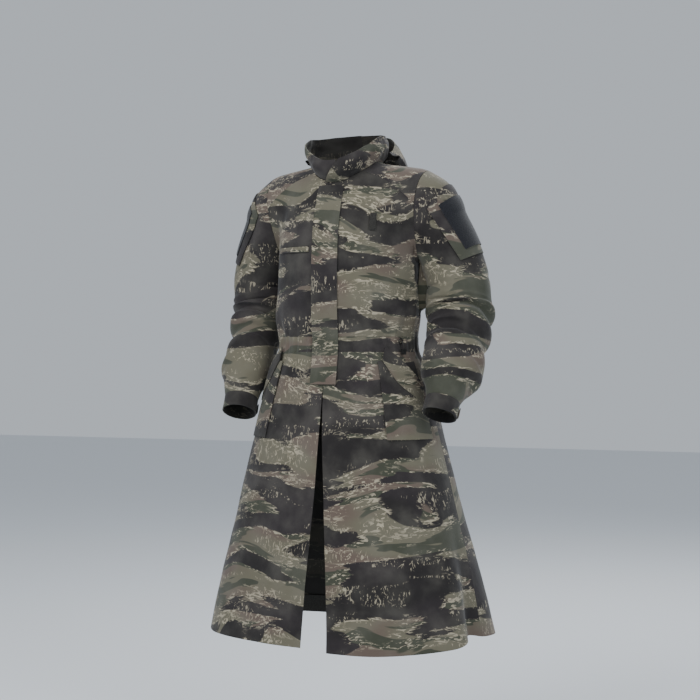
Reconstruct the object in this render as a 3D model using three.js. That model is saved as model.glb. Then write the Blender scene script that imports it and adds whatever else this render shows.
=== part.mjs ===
// A calf-length hooded field parka, worn shape, hollow, in millimetres.
// +Z is up, the front faces -Y and the wearer's left is +X. The origin lies between the
// shoulders at the base of the neck, where the wearer's shoulders carry the coat.
import * as THREE from "three";

// Cloth and sewing
const shellCloth = 1.6; // one layer of the shell with its seam turnings
const doubleCloth = 2.4; // folded pieces: fly, flaps, tabs, cuffs
const seamGap = 0.3;
const armholeGap = 1.5;
const restGap = 0.9; // a piece on a panel clears the panel's facets by this much

// Heights
const hemZ = -1250;
const waistSeamZ = -495;
const waistTopZ = -455;
const flyTopZ = -58;
const flyBottomZ = -580;
const flyHalfWidth = 32;
const facingHeight = 50;

// Sections of the body cloth at each height, half sizes measured from the Z axis
const bodySections = [
  { z: 40, side: 70, front: 48, back: 74 },
  { z: 0, side: 100, front: 66, back: 90 },
  { z: -30, side: 136, front: 90, back: 110 },
  { z: -70, side: 166, front: 114, back: 129 },
  { z: -120, side: 183, front: 134, back: 143 },
  { z: -180, side: 189, front: 148, back: 149 },
  { z: -250, side: 192, front: 155, back: 150 },
  { z: -330, side: 196, front: 157, back: 150 },
  { z: -400, side: 198, front: 155, back: 150 },
  { z: -455, side: 190, front: 149, back: 146 },
  { z: -495, side: 192, front: 150, back: 150 },
  { z: -530, side: 208, front: 156, back: 163 },
  { z: -600, side: 229, front: 168, back: 183 },
  { z: -700, side: 257, front: 186, back: 205 },
  { z: -841, side: 293, front: 204, back: 224 },
  { z: -1003, side: 333, front: 231, back: 256 },
  { z: -1111, side: 359, front: 250, back: 280 },
  { z: -1250, side: 388, front: 270, back: 306 },
];
const bodySquareness = 2.15; // exponent of the section's superellipse

// Flutes of the skirt: a depth outwards at the hem, which fades out at its top
const skirtFlutes = [
  { angle: 25, width: 12, depth: 9, top: -760 },
  { angle: 66, width: 10, depth: 14, top: -800 },
  { angle: 82, width: 7, depth: -26, top: -900 },
  { angle: 103, width: 11, depth: 12, top: -850 },
  { angle: 138, width: 12, depth: -16, top: -700 },
  { angle: 160, width: 13, depth: 12, top: -700 },
  { angle: -22, width: 11, depth: -7, top: -800 },
  { angle: -52, width: 13, depth: 9, top: -750 },
  { angle: -96, width: 10, depth: -14, top: -800 },
  { angle: -128, width: 13, depth: 13, top: -700 },
  { angle: -158, width: 11, depth: -15, top: -720 },
];

// The hem line, which rises and falls round the skirt
const hemLine = [
  { angle: -180, rise: 0 },
  { angle: -90, rise: 12 },
  { angle: -60, rise: 10 },
  { angle: -20, rise: 2 },
  { angle: 0, rise: 0 },
  { angle: 8, rise: -8 },
  { angle: 35, rise: -9 },
  { angle: 62, rise: 2 },
  { angle: 82, rise: 22 },
  { angle: 92, rise: 14 },
  { angle: 180, rise: 0 },
];

// Front edges of the skirt at the hem, as angles from the centre front
const openingTurn = { left: 7.3, right: 1.8 };

// The sleeve's centre line and radius, on the wearer's left
const armSections = [
  { at: 0, x: 120, y: 10, z: -85, radius: 88 },
  { at: 0.12, x: 200, y: 30, z: -106, radius: 92 },
  { at: 0.24, x: 234, y: 40, z: -165, radius: 83 },
  { at: 0.36, x: 265, y: 50, z: -228, radius: 82 },
  { at: 0.5, x: 291, y: 62, z: -300, radius: 82 },
  { at: 0.63, x: 294, y: 68, z: -375, radius: 86 },
  { at: 0.73, x: 303, y: 52, z: -430, radius: 81 },
  { at: 0.84, x: 306, y: 15, z: -498, radius: 76 },
  { at: 0.93, x: 304, y: -25, z: -560, radius: 72 },
  { at: 0.97, x: 303, y: -44, z: -594, radius: 54 },
  { at: 1, x: 301, y: -58, z: -620, radius: 45 },
];
const arms = {
  left: { side: 1, reach: { x: 2, y: -26, radius: 3 } },
  right: { side: -1, reach: { x: -22, y: -30, radius: -13 } },
};
const elbowAt = { from: 0.4, to: 0.9 };

// Largest folds of the sleeves: around is the angle from the outer side towards the front
const sleeveFolds = [
  { at: 0.66, around: -20, spread: 95, width: 0.03, height: 8 },
  { at: 0.705, around: 10, spread: 110, width: 0.018, height: -11 },
  { at: 0.76, around: 30, spread: 100, width: 0.03, height: 8 },
  { at: 0.81, around: 20, spread: 90, width: 0.018, height: -9 },
  { at: 0.87, around: 0, spread: 100, width: 0.03, height: 7 },
  { at: 0.925, around: -10, spread: 80, width: 0.03, height: 12 },
];
const foldSlant = 0.035; // how far a fold drops from the front of the sleeve to its back

// Armhole: a nearly upright plane through the shoulder
const armhole = { x: 210, y: 24, z: -135, lean: 0.1, frontCorner: 72, backCorner: -72 };
const cuffLength = 42;
const cuffRadius = { seam: 45, edge: 46 };

// Neckline
const neckline = { side: 84, front: 92, back: 80, frontZ: -50, sideZ: -2, backZ: 14 };
const yokeNeckAngle = { front: 52, back: 128 };

// Counts of facets
const sleeveAround = 20;
const frontAcross = { neck: 3, yoke: 5 };
const backAcross = { neck: 4, yoke: 5 };
const sideRows = 6;
const skirtRows = 11;

const up = new THREE.Vector3(0, 0, 1);
const radians = THREE.MathUtils.degToRad;
const clamp = THREE.MathUtils.clamp;
const lerp = THREE.MathUtils.lerp;
const vec = (x, y, z) => new THREE.Vector3(x, y, z);

function smoothStep(from, to, x) {
  const t = clamp((x - from) / (to - from), 0, 1);
  return t * t * (3 - 2 * t);
}

function bell(x) {
  return Math.exp(-x * x);
}

// A smooth curve through a table's rows: every column at one value of the key column
function tableAt(table, key, value) {
  const rising = table[table.length - 1][key] > table[0][key];
  const rows = rising ? table : [...table].reverse();
  const x = clamp(value, rows[0][key], rows[rows.length - 1][key]);
  let i = 0;
  while (i < rows.length - 2 && rows[i + 1][key] < x) i += 1;
  const before = rows[Math.max(i - 1, 0)];
  const after = rows[Math.min(i + 2, rows.length - 1)];
  const [p, q] = [rows[i], rows[i + 1]];
  const step = q[key] - p[key];
  const t = (x - p[key]) / step;
  const made = {};
  for (const column of Object.keys(p)) {
    const slopeP = ((q[column] - before[column]) / (q[key] - before[key])) * step;
    const slopeQ = ((after[column] - p[column]) / (after[key] - p[key])) * step;
    const rise = q[column] - p[column];
    const bend = t * (t - 1);
    made[column] =
      p[column] + rise * t * t * (3 - 2 * t) + bend * ((t - 1) * slopeP + t * slopeQ);
  }
  made[key] = x;
  return made;
}

// ---- The body's surface ----

function fluteAt(angle, z) {
  let depth = 0;
  for (const flute of skirtFlutes) {
    const away = ((angle - flute.angle + 540) % 360) - 180;
    depth += flute.depth * bell(away / flute.width) * smoothStep(flute.top, hemZ, z);
  }
  return depth;
}

// Angle 0 is the centre front, 90 the wearer's left side and 180 the centre back
function bodyPoint(angle, z, lift = 0) {
  const row = tableAt(bodySections, "z", z);
  const a = radians(angle);
  const power = 2 / bodySquareness;
  const sin = Math.sin(a);
  const cos = Math.cos(a);
  const depth = cos > 0 ? row.front : row.back;
  const x = row.side * Math.sign(sin) * Math.abs(sin) ** power;
  const y = -depth * Math.sign(cos) * Math.abs(cos) ** power;
  const out = vec(x / row.side, y / depth, 0).normalize();
  return vec(x, y, z).addScaledVector(out, fluteAt(angle, z) + lift);
}

function bodyField(p) {
  const row = tableAt(bodySections, "z", p.z);
  const depth = p.y < 0 ? row.front : row.back;
  const across = Math.abs(p.x / row.side) ** bodySquareness;
  const along = Math.abs(p.y / depth) ** bodySquareness;
  return ((across + along) ** (1 / bodySquareness) - 1) * Math.min(row.side, depth);
}

// ---- The sleeves' surface ----

function armAt(arm, at) {
  const row = tableAt(armSections, "at", at);
  const reach = smoothStep(elbowAt.from, elbowAt.to, at);
  const x = (row.x + arm.reach.x * reach) * arm.side;
  const slim = arm.reach.radius * smoothStep(1, elbowAt.to, at);
  const radius = row.radius + slim * reach;
  return { centre: vec(x, row.y + arm.reach.y * reach, row.z), radius };
}

function armFrame(arm, at) {
  const step = 0.01;
  const from = armAt(arm, Math.max(at - step, 0)).centre;
  const along = armAt(arm, Math.min(at + step, 1)).centre.sub(from).normalize();
  const outer = vec(arm.side, 0, 0);
  outer.addScaledVector(along, -outer.dot(along)).normalize();
  const front = along.clone().cross(outer).multiplyScalar(arm.side);
  return { along, outer, front };
}

function foldAt(angle, at) {
  let height = 0;
  for (const fold of sleeveFolds) {
    const away = ((angle - fold.around + 540) % 360) - 180;
    const place = fold.at - foldSlant * Math.sin(radians(angle));
    height += fold.height * bell((at - place) / fold.width) * bell(away / fold.spread);
  }
  return height;
}

// Angle 0 is the outer side of the arm and 90 its front
function ringPoint(arm, at, angle, lift = 0) {
  const { centre, radius } = armAt(arm, at);
  const { outer, front } = armFrame(arm, at);
  const r = radius + lift + foldAt(angle, at);
  const a = radians(angle);
  return centre
    .addScaledVector(outer, r * Math.cos(a))
    .addScaledVector(front, r * Math.sin(a));
}

const shoulderSamples = Array.from({ length: 13 }, (_, i) => armAt(arms.left, i * 0.045));

function armField(p) {
  const q = vec(Math.abs(p.x), p.y, p.z);
  let nearest = Infinity;
  for (let i = 1; i < shoulderSamples.length; i += 1) {
    const [from, to] = [shoulderSamples[i - 1], shoulderSamples[i]];
    const span = to.centre.clone().sub(from.centre);
    const away = q.clone().sub(from.centre);
    const t = clamp(away.dot(span) / span.lengthSq(), 0, 1);
    const far = away.addScaledVector(span, -t).length();
    nearest = Math.min(nearest, far - lerp(from.radius, to.radius, t));
  }
  return nearest;
}

// ---- Where body and sleeve run into each other over the shoulder ----

const blendAt = { wide: 26, narrow: 3, topZ: -150, bottomZ: -245 };

function smoothMin(a, b, width) {
  const h = clamp(0.5 + (0.5 * (b - a)) / width, 0, 1);
  return lerp(b, a, h) - width * h * (1 - h);
}

function coatField(p, armFade = 0, bodyFade = 0) {
  const below = Math.max(0, blendAt.bottomZ - p.z);
  const width = lerp(
    blendAt.wide,
    blendAt.narrow,
    smoothStep(blendAt.topZ, blendAt.bottomZ, p.z),
  );
  return smoothMin(bodyField(p) + below * bodyFade, armField(p) + below * armFade, width);
}

const fields = {
  coat: (p) => coatField(p),
  body: (p) => coatField(p, 1.2, 0),
  sleeve: (p) => coatField(p, 0, 4),
};

function slopeOf(field, p) {
  const h = 0.5;
  const slope = vec(0, 0, 0);
  for (const axis of ["x", "y", "z"]) {
    const ahead = p.clone();
    const behind = p.clone();
    ahead[axis] += h;
    behind[axis] -= h;
    slope[axis] = (field(ahead) - field(behind)) / (2 * h);
  }
  return slope;
}

function ontoField(field, guess) {
  const p = guess.clone();
  for (let i = 0; i < 12; i += 1) {
    const slope = slopeOf(field, p);
    p.addScaledVector(slope, -field(p) / slope.lengthSq());
  }
  return p;
}

// ---- Curves that pieces share ----

function neckPoint(angle) {
  const a = radians(angle);
  const depth = Math.cos(a) > 0 ? neckline.front : neckline.back;
  const sideZ = neckline.sideZ;
  const z =
    Math.cos(a) > 0
      ? lerp(sideZ, neckline.frontZ, Math.cos(a) ** 1.5)
      : lerp(sideZ, neckline.backZ, -Math.cos(a));
  const guess = vec(neckline.side * Math.sin(a), -depth * Math.cos(a), z);
  return ontoField(fields.coat, guess);
}

// Angle 0 is the top of the shoulder, 90 the front and 180 the armpit
function armholePoint(arm, angle) {
  const a = radians(angle);
  const upward = vec(arm.side * armhole.lean, 0, 1).normalize();
  const way = upward.multiplyScalar(Math.cos(a)).add(vec(0, -Math.sin(a), 0));
  const centre = vec(arm.side * armhole.x, armhole.y, armhole.z);
  let [near, far] = [0, 260];
  for (let i = 0; i < 26; i += 1) {
    const middle = (near + far) / 2;
    if (fields.coat(centre.clone().addScaledVector(way, middle)) < 0) near = middle;
    else far = middle;
  }
  return centre.addScaledVector(way, near);
}

function steps(count, from = 0, to = 1) {
  return Array.from({ length: count + 1 }, (_, i) => lerp(from, to, i / count));
}

// A seam on the coat's surface between two points, bowed by the given vector
function seamLine(from, to, count, bow) {
  return steps(count).map((t) => {
    if (t === 0 || t === 1) return t ? to.clone() : from.clone();
    const guess = from.clone().lerp(to, t).addScaledVector(bow, 4 * t * (1 - t));
    return ontoField(fields.coat, guess);
  });
}

function armholeLine(arm, from, to, count) {
  return steps(count, from, to).map((angle) => armholePoint(arm, angle));
}

function sideSeam(arm) {
  const armpit = armholePoint(arm, 180);
  const row = tableAt(bodySections, "z", armpit.z);
  const turn = THREE.MathUtils.radToDeg(Math.asin(clamp(armpit.y / row.back, -1, 1)));
  const drift = armpit.clone().sub(bodyPoint(arm.side * (90 + turn), armpit.z));
  return steps(sideRows).map((t) => {
    const p = bodyPoint(arm.side * (90 + turn * t), lerp(waistTopZ, armpit.z, t));
    return p.addScaledVector(drift, t ** 12);
  });
}

// A grid between four edges. Rows run from bottom to top, and each row from left to right.
function coonsGrid(bottom, top, left, right, settle) {
  const across = bottom.length - 1;
  const rows = left.length - 1;
  return left.map((_, j) => {
    const v = j / rows;
    return bottom.map((_, i) => {
      const u = i / across;
      if (j === 0) return bottom[i].clone();
      if (j === rows) return top[i].clone();
      if (i === 0) return left[j].clone();
      if (i === across) return right[j].clone();
      const p = left[j].clone().multiplyScalar(1 - u);
      p.addScaledVector(right[j], u);
      p.addScaledVector(bottom[i], 1 - v).addScaledVector(top[i], v);
      p.addScaledVector(bottom[0], -(1 - u) * (1 - v));
      p.addScaledVector(bottom[across], -u * (1 - v));
      p.addScaledVector(top[0], -(1 - u) * v).addScaledVector(top[across], -u * v);
      return settle(p);
    });
  });
}

// ---- Cloth walls from grids ----

function gridNormals(grid) {
  const rows = grid.length - 1;
  const across = grid[0].length - 1;
  return grid.map((row, j) =>
    row.map((_, i) => {
      const right = grid[j][Math.min(i + 1, across)];
      const left = grid[j][Math.max(i - 1, 0)];
      const above = grid[Math.min(j + 1, rows)][i];
      const below = grid[Math.max(j - 1, 0)][i];
      const wide = right.clone().sub(left);
      return wide.cross(above.clone().sub(below)).normalize();
    }),
  );
}

function surfaceNormals(grid) {
  return grid.map((row) => row.map((p) => slopeOf(fields.coat, p).normalize()));
}

// Draws each outer edge in by half the seam gap, so that neighbours stay apart
function trimmed(grid, by = seamGap / 2) {
  const rows = grid.length - 1;
  const across = grid[0].length - 1;
  const inward = (p, q) => q.clone().sub(p).setLength(by);
  return grid.map((row, j) =>
    row.map((p, i) => {
      const q = p.clone();
      if (i === 0) q.add(inward(p, grid[j][1]));
      if (i === across) q.add(inward(p, grid[j][across - 1]));
      if (j === 0) q.add(inward(p, grid[1][i]));
      if (j === rows) q.add(inward(p, grid[rows - 1][i]));
      return q;
    }),
  );
}

function moved(grid, normals, by) {
  return grid.map((row, j) =>
    row.map((p, i) => p.clone().addScaledVector(normals[j][i], by)),
  );
}

// A closed wall between two grids of one size. A ring's last column meets its first.
function wallBetween(outer, inner, closed = false) {
  const rows = outer.length;
  const columns = outer[0].length;
  const positions = [];
  const faces = [];
  for (const grid of [outer, inner]) {
    for (const row of grid) for (const p of row) positions.push(p.x, p.y, p.z);
  }
  const at = (layer, j, i) => (layer * rows + j) * columns + (i % columns);
  const quad = (a, b, c, d) => faces.push(a, b, c, a, c, d);
  const wide = closed ? columns : columns - 1;
  for (let j = 0; j < rows - 1; j += 1) {
    for (let i = 0; i < wide; i += 1) {
      quad(at(0, j, i), at(0, j, i + 1), at(0, j + 1, i + 1), at(0, j + 1, i));
      quad(at(1, j, i), at(1, j + 1, i), at(1, j + 1, i + 1), at(1, j, i + 1));
    }
  }
  for (let i = 0; i < wide; i += 1) {
    quad(at(0, 0, i), at(1, 0, i), at(1, 0, i + 1), at(0, 0, i + 1));
    const j = rows - 1;
    quad(at(0, j, i), at(0, j, i + 1), at(1, j, i + 1), at(1, j, i));
  }
  for (let j = 0; j < rows - 1 && !closed; j += 1) {
    quad(at(0, j, 0), at(0, j + 1, 0), at(1, j + 1, 0), at(1, j, 0));
    const i = columns - 1;
    quad(at(0, j, i), at(1, j, i), at(1, j + 1, i), at(0, j + 1, i));
  }
  const geometry = new THREE.BufferGeometry();
  geometry.setAttribute("position", new THREE.Float32BufferAttribute(positions, 3));
  geometry.setIndex(faces);
  return geometry;
}

const coat = new THREE.Group();
const cloth = {
  camouflage: { color: 0x5b5a4c, roughness: 0.85, metalness: 0 },
  darkCloth: { color: 0x26241f, roughness: 0.9, metalness: 0 },
  loopPile: { color: 0x0e0e11, roughness: 0.95, metalness: 0 },
  hardware: { color: 0x1d1d1c, roughness: 0.5, metalness: 0.1 },
};

function add(name, geometry, finish) {
  const mesh = new THREE.Mesh(geometry, new THREE.MeshStandardMaterial(cloth[finish]));
  mesh.name = name;
  coat.add(mesh);
  return mesh;
}

// Grids on the wearer's right run the other way across, so that faces point outwards
function facingOut(grid, side) {
  return side > 0 ? grid : grid.map((row) => [...row].reverse());
}

function addPanel(name, grid, thickness = shellCloth, finish = "camouflage") {
  const edges = trimmed(grid);
  const normals = surfaceNormals(edges);
  add(name, wallBetween(edges, moved(edges, normals, -thickness)), finish);
}

// A piece that lies on what is below it, from the points where its underside rests
function addOverlay(name, grid, thickness, finish, lift = restGap) {
  const normals = gridNormals(grid);
  const under = moved(grid, normals, lift);
  add(name, wallBetween(moved(under, normals, thickness), under), finish);
}

// ---- Fronts, back and yokes ----

function makeSide(sideName, arm) {
  const { side } = arm;
  const corner = armholePoint(arm, armhole.frontCorner);
  const backCorner = armholePoint(arm, armhole.backCorner);
  const neckFront = neckPoint(side * yokeNeckAngle.front);
  const neckBack = neckPoint(side * yokeNeckAngle.back);
  const frontArmRows = Math.round(((180 - armhole.frontCorner) / 360) * sleeveAround);
  const yokeRows = Math.round(((armhole.frontCorner * 2) / 360) * sleeveAround);

  const frontSeam = seamLine(neckFront, corner, frontAcross.yoke, vec(0, -8, 16));
  const backSeam = seamLine(neckBack, backCorner, backAcross.yoke, vec(0, 6, 6));
  const neckToFront = steps(frontAcross.neck, 0, yokeNeckAngle.front).map((angle) =>
    neckPoint(side * angle),
  );
  const top = [...neckToFront, ...frontSeam.slice(1)];
  const flank = [
    ...sideSeam(arm),
    ...armholeLine(arm, 180, armhole.frontCorner, frontArmRows).slice(1),
  ];
  const bottom = steps(top.length - 1, 0, 90).map((angle) =>
    bodyPoint(side * angle, waistTopZ),
  );
  const middleFront = flank.map((_, j) => {
    const z = lerp(waistTopZ, top[0].z, j / (flank.length - 1));
    return ontoField(fields.body, bodyPoint(0, z));
  });
  middleFront[middleFront.length - 1] = top[0];
  const front = coonsGrid(bottom, top, middleFront, flank, (p) =>
    ontoField(fields.body, p),
  );
  addPanel("front_" + sideName, facingOut(front, side));

  const shoulder = armholeLine(arm, armhole.frontCorner, armhole.backCorner, yokeRows);
  const neckSide = steps(yokeRows, yokeNeckAngle.front, yokeNeckAngle.back).map((angle) =>
    neckPoint(side * angle),
  );
  const yoke = coonsGrid(frontSeam, backSeam, neckSide, shoulder, (p) =>
    ontoField(fields.coat, p),
  );
  addPanel("yoke_" + sideName, facingOut(yoke, side));

  const backFlank = [
    ...sideSeam(arm),
    ...armholeLine(arm, -180, armhole.backCorner, frontArmRows).slice(1),
  ];
  return { backSeam, backFlank };
}

const edgesOf = {
  left: makeSide("left", arms.left),
  right: makeSide("right", arms.right),
};

function makeBack() {
  const neckBack = steps(backAcross.neck, yokeNeckAngle.back, 360 - yokeNeckAngle.back);
  const top = [
    ...[...edgesOf.left.backSeam].reverse(),
    ...neckBack.slice(1, -1).map((angle) => neckPoint(angle)),
    ...edgesOf.right.backSeam,
  ];
  const bottom = steps(top.length - 1, 90, 270).map((angle) =>
    bodyPoint(angle, waistTopZ),
  );
  const settle = (p) => ontoField(fields.body, p);
  addPanel(
    "back",
    coonsGrid(bottom, top, edgesOf.left.backFlank, edgesOf.right.backFlank, settle),
  );
}
makeBack();

// ---- Waistband, skirt and its facing ----

function hemmed(angle, z) {
  const turn = ((angle + 540) % 360) - 180;
  const share = clamp((waistSeamZ - z) / (waistSeamZ - hemZ), 0, 1);
  return z + tableAt(hemLine, "angle", turn).rise * share ** 3;
}

function bodyGrid(angles, heights, lift = 0) {
  return heights.map((z) =>
    angles(z).map((angle) => bodyPoint(angle, hemmed(angle, z), lift)),
  );
}

const straight = (from, to, count) => () => steps(count, from, to);

function addBodyWall(name, angles, heights) {
  const outer = trimmed(bodyGrid(angles, heights));
  const inner = trimmed(bodyGrid(angles, heights, -shellCloth));
  add(name, wallBetween(outer, inner), "camouflage");
}

function frontEdgeAngle(sideName, z) {
  return openingTurn[sideName] * smoothStep(flyBottomZ + 60, hemZ, z);
}

function makeSkirt() {
  const band = [waistSeamZ, (waistSeamZ + waistTopZ) / 2, waistTopZ];
  addBodyWall("waistband_front_left", straight(0, 90, 8), band);
  addBodyWall("waistband_front_right", straight(-90, 0, 8), band);
  addBodyWall("waistband_back", straight(90, 270, 14), band);

  const heights = steps(skirtRows).map((t) => lerp(hemZ, waistSeamZ, t ** 0.9));
  const skirt = (name, angles) => addBodyWall(name, angles, heights);
  skirt("skirt_front_left", (z) => steps(11, frontEdgeAngle("left", z), 90));
  skirt("skirt_front_right", (z) => steps(10, -90, -frontEdgeAngle("right", z)));
  skirt("skirt_back_left", straight(90, 180, 10));
  skirt("skirt_back_right", straight(180, 270, 10));

  const facing = (lift) =>
    bodyGrid(straight(99, 261, 18), [hemZ + 1, hemZ + facingHeight], lift);
  const rest = -shellCloth - restGap;
  add("hem_facing_back", wallBetween(facing(rest), facing(rest - 1)), "darkCloth");
}
makeSkirt();

// ---- Sleeves, cuffs and what is sewn on them ----

const bag = { from: 54, to: -36, low: 0.43, high: 0.11, rows: 8, columns: 5 };
const pile = { from: 36, to: -36, low: 0.39, high: 0.15, rows: 6, columns: 4 };
const sleeveClear = { low: 3.2, high: 11, from: -315, to: -262 };
const pocketLift = 1.5;
const pileLift = 3.9;
const loopPileCloth = 1.8;
const ringStart = 0.44; // from here down, sections are plain rings round the arm
const sleeveBlendRows = 4;
const sleeveRings = [0.44, 0.5, 0.55, 0.6, 0.64, 0.68, 0.71, 0.745, 0.78, 0.81, 0.85, 0.885];
const sleeveLastRings = [0.915, 0.945, 0.972, 1];

// Below the armpit the sleeve hangs beside the body and stays just clear of it
function besideBody(p) {
  const nearPit = smoothStep(sleeveClear.from, sleeveClear.to, p.z);
  const inside = lerp(sleeveClear.low, sleeveClear.high, nearPit) - bodyField(p);
  if (p.z > blendAt.bottomZ || inside < 0) return p;
  return p.addScaledVector(slopeOf(bodyField, p).normalize(), inside);
}

function sleeveSurface(arm, at, angle, lift = 0) {
  if (at >= ringStart) return besideBody(ringPoint(arm, at, angle, lift));
  const share = clamp(at / ringStart, 0, 1);
  const from = armholePoint(arm, angle);
  const guess = from.clone().lerp(ringPoint(arm, ringStart, angle), share);
  const p = share === 0 ? guess : besideBody(ontoField(fields.sleeve, guess));
  return p.addScaledVector(slopeOf(fields.coat, p).normalize(), lift);
}

function cuffPoint(arm, along, angle, lift = 0) {
  const frame = armFrame(arm, 1);
  const radius = lerp(cuffRadius.seam, cuffRadius.edge, along / cuffLength) + lift;
  const a = radians(angle);
  return armAt(arm, 1)
    .centre.addScaledVector(frame.along, along)
    .addScaledVector(frame.outer, radius * Math.cos(a))
    .addScaledVector(frame.front, radius * Math.sin(a));
}

// Rings run from the cuff up, and round the arm so that their faces point outwards
function roundArm(arm, from, to, count) {
  return steps(count, from, to).map((angle) => -arm.side * angle);
}

function makeSleeve(sideName, arm) {
  const blendShares = steps(sleeveBlendRows).slice(0, -1);
  const ats = [
    ...blendShares.map((share) => share * ringStart),
    ...sleeveRings,
    ...sleeveLastRings,
  ].reverse();
  const around = roundArm(arm, -180, 180, sleeveAround).slice(0, -1);
  const outer = ats.map((at) => around.map((angle) => sleeveSurface(arm, at, angle)));
  const last = outer.length - 1;
  const drawIn = (j, inside, by) => {
    outer[j] = outer[j].map((p, i) => {
      const way = outer[inside][i].clone().sub(p);
      return p.clone().add(way.setLength(by));
    });
  };
  drawIn(0, 1, seamGap / 2);
  drawIn(last, last - 1, armholeGap);
  const inner = ats.map((at, j) =>
    outer[j].map((p) => {
      if (at < ringStart) {
        return p.clone().addScaledVector(slopeOf(fields.sleeve, p).normalize(), -shellCloth);
      }
      const { centre } = armAt(arm, at);
      const way = centre.sub(p).projectOnPlane(armFrame(arm, at).along);
      return p.clone().add(way.setLength(shellCloth));
    }),
  );
  add("sleeve_" + sideName, wallBetween(outer, inner, true), "camouflage");

  const cuffRows = [cuffLength, cuffLength / 2, seamGap];
  const cuff = (lift) =>
    cuffRows.map((along) => around.map((angle) => cuffPoint(arm, along, angle, lift)));
  add("cuff_" + sideName, wallBetween(cuff(0), cuff(-doubleCloth), true), "camouflage");

  const tab = { from: -150, to: -20, low: 34, high: 10 };
  const tabGrid = [tab.low, tab.high].map((along) =>
    steps(8, tab.from, tab.to).map((angle) => cuffPoint(arm, along, angle)),
  );
  addOverlay("cuff_tab_" + sideName, facingOut(tabGrid, -arm.side), doubleCloth, "camouflage");

  const sewn = (piece, lift) => {
    const rows = steps(piece.rows, piece.low, piece.high).map((at) =>
      steps(piece.columns, piece.from, piece.to).map((angle) =>
        sleeveSurface(arm, at, angle, lift),
      ),
    );
    return facingOut(rows, arm.side);
  };
  const pocket = wallBetween(sewn(bag, pocketLift + shellCloth), sewn(bag, pocketLift));
  add("sleeve_pocket_" + sideName, pocket, "camouflage");
  const panel = wallBetween(sewn(pile, pileLift + loopPileCloth), sewn(pile, pileLift));
  add("sleeve_loop_panel_" + sideName, panel, "loopPile");
}
makeSleeve("left", arms.left);
makeSleeve("right", arms.right);

// ---- Front fly ----

function coatPoint(x, z) {
  const row = tableAt(bodySections, "z", z);
  const turn = Math.asin(clamp(x / row.side, -1, 1));
  return bodyPoint(THREE.MathUtils.radToDeg(turn), z);
}

function makeFly() {
  const heights = [flyBottomZ, -560, -530, -512, -495, -475, -455, -430, -400, -360, -310];
  const upper = [-260, -215, -170, -130, -95, -75, flyTopZ];
  const grid = [...heights, ...upper].map((z) =>
    steps(4, -flyHalfWidth, flyHalfWidth).map((x) => coatPoint(x, z)),
  );
  addOverlay("front_fly", grid, doubleCloth, "camouflage", 1.1);
}
makeFly();

// ---- Collar and hood ----

// The collar stands out from the neckline, rolls over and draws in again at its top edge
const collarFoot = 1.7;
const collarProfile = [
  { rise: 0, out: 0 },
  { rise: 0.3, out: 13 },
  { rise: 0.62, out: 19 },
  { rise: 1, out: 14 },
];
const collarHeight = { front: 52, back: 80 };
const collarLean = -12; // the collar leans forwards as it rises

function collarPoint(angle, rise, lift = 0) {
  const foot = neckPoint(angle);
  const out = tableAt(collarProfile, "rise", rise).out + lift;
  const away = vec(foot.x, foot.y, 0).normalize();
  const towardsBack = (1 - Math.cos(radians(angle))) / 2;
  const height = lerp(collarHeight.front, collarHeight.back, towardsBack);
  const p = foot.addScaledVector(away, out);
  p.z += collarFoot + height * rise;
  p.y += collarLean * rise;
  return p;
}

function collarGrid(from, to, count, edgeTurn, lift) {
  return steps(5).map((rise) =>
    steps(count).map((t) => {
      const start = from + edgeTurn * rise * (1 - t);
      return collarPoint(lerp(start, to, t), rise, lift);
    }),
  );
}

function addStanding(name, grid, thickness) {
  const inner = moved(grid, gridNormals(grid), -thickness);
  add(name, wallBetween(grid, inner), "camouflage");
}

function makeCollar() {
  // the right half passes under the left, whose free edge slants towards the left shoulder
  addStanding("collar_right", collarGrid(-179.8, 10, 16, 0, 0), doubleCloth);
  const over = collarGrid(-14, 179.8, 16, 30, 0);
  const normals = gridNormals(over);
  const lifted = over.map((row, j) =>
    row.map((p, i) => {
      const past = smoothStep(60, 25, i * 12);
      return p.clone().addScaledVector(normals[j][i], 4 * past);
    }),
  );
  addStanding("collar_left", lifted, doubleCloth);
}
makeCollar();

// The hood lies on the back as an open pouch: this is its line at the centre back
const hoodLine = [
  { out: 20, rise: -4, clear: 2.2 },
  { out: 36, rise: -42, clear: 8 },
  { out: 56, rise: -84, clear: 10 },
  { out: 70, rise: -116, clear: 10 },
  { out: 92, rise: -132, clear: 14 },
  { out: 114, rise: -100, clear: 22 },
  { out: 119, rise: -44, clear: 26 },
  { out: 104, rise: 11, clear: 26 },
  { out: 80, rise: 56, clear: 26 },
  { out: 58, rise: 80, clear: 26 },
];
const hoodSpan = { from: 98, full: 162, least: 0.36 };

function hoodPoint(angle, row) {
  const fromBack = 180 - Math.abs(180 - angle);
  const grown = smoothStep(hoodSpan.from, hoodSpan.full, fromBack);
  const share = lerp(hoodSpan.least, 1, grown);
  const p = neckPoint(angle);
  const away = vec(p.x, p.y, 0).normalize();
  p.addScaledVector(away, row.out * share);
  p.z += row.rise * share;
  for (let i = 0; i < 4; i += 1) {
    const inside = row.clear - coatField(p);
    if (inside > 0) p.addScaledVector(slopeOf(fields.coat, p).normalize(), inside);
  }
  return p;
}

function makeHood() {
  const angles = steps(16, hoodSpan.from, 360 - hoodSpan.from);
  const grid = hoodLine.map((row) => angles.map((angle) => hoodPoint(angle, row)));
  const outside = [...grid].reverse();
  const inner = moved(outside, gridNormals(outside), shellCloth);
  add("hood", wallBetween(inner, outside), "camouflage");
}
makeHood();

// ---- Pockets and tabs ----

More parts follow.
